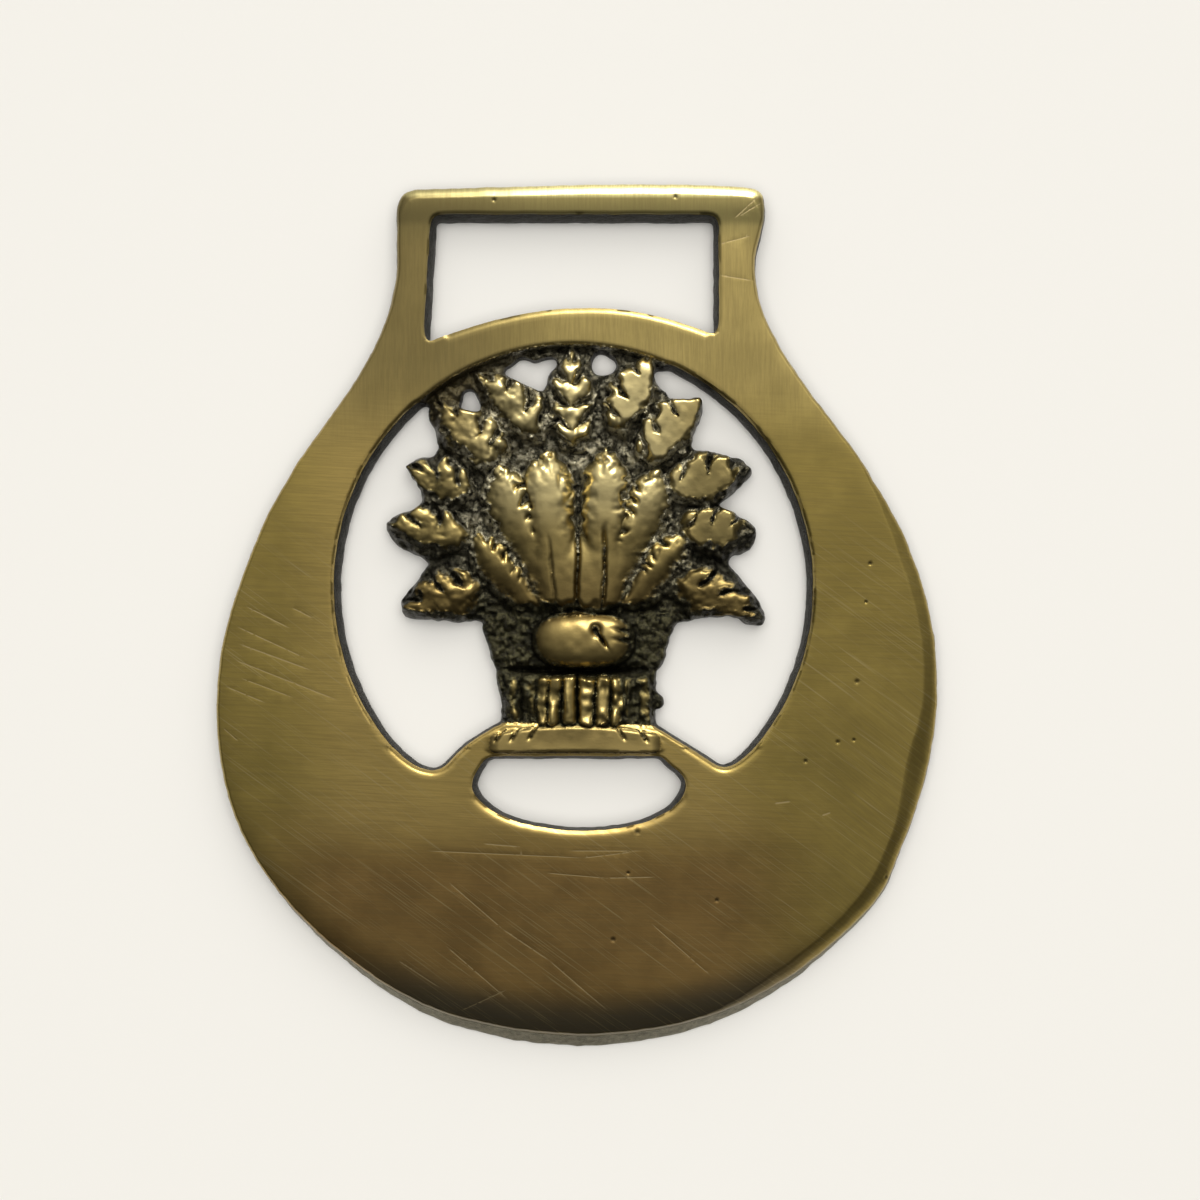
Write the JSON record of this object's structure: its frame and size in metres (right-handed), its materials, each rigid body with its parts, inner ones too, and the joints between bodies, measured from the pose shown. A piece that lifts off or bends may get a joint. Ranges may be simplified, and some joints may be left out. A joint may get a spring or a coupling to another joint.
{
  "type": "horse brass",
  "caption": "Cast brass harness pendant: a pierced pear-shaped plate with a strap loop above and a sheaf of corn in relief in its round window.",
  "frame": {"origin": "on the flat back, under the middle of the outline's bounding box", "axes": "+X across the plate, +Y towards the strap loop, +Z out of the carved face"},
  "size_m": [0.0722, 0.0864, 0.0047],
  "materials": {
    "brass": "satin, worn and patinated"
  },
  "bodies": {
    "root": {"horse_brass": "brass"}
  },
  "joints": []
}
